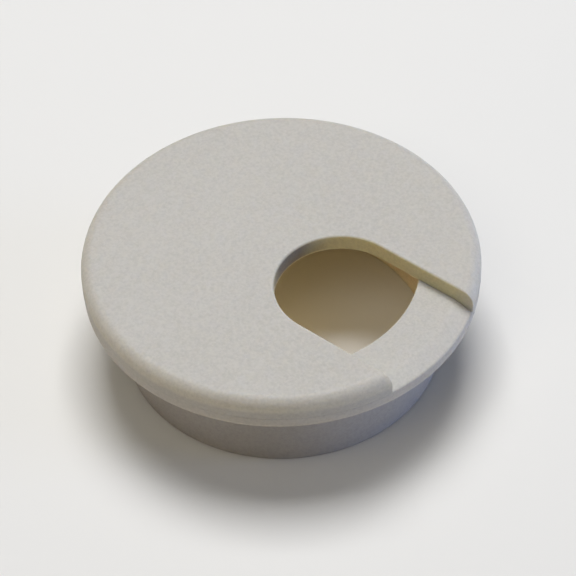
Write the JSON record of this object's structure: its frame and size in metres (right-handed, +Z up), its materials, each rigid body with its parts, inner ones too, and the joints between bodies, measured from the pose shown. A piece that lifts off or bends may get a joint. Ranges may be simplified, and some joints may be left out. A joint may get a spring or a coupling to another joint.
{
  "type": "desk grommet",
  "caption": "Round flanged liner for a cable hole in a desk top, with a flat slotted cap that clips in and turns to aim the cable slot.",
  "frame": {"origin": "on the barrel's axis in the plane of the desk top, which is the underside of the flange", "axes": "+Z up along the barrel's axis, out of the desk; the cable slot opens towards +X at rest"},
  "size_m": [0.0609, 0.061, 0.0198],
  "materials": {
    "warm_grey_plastic": "fine sand-grained moulded plastic, matt"
  },
  "bodies": {
    "liner": {"liner": "warm_grey_plastic"},
    "cap": {"cap": "warm_grey_plastic"}
  },
  "joints": [
    {"name": "cap_turn", "type": "hinge", "parent": "liner", "child": "cap", "pos_m": [0, 0, 0.00251], "axis": [0, 0, 1], "continuous": true}
  ]
}
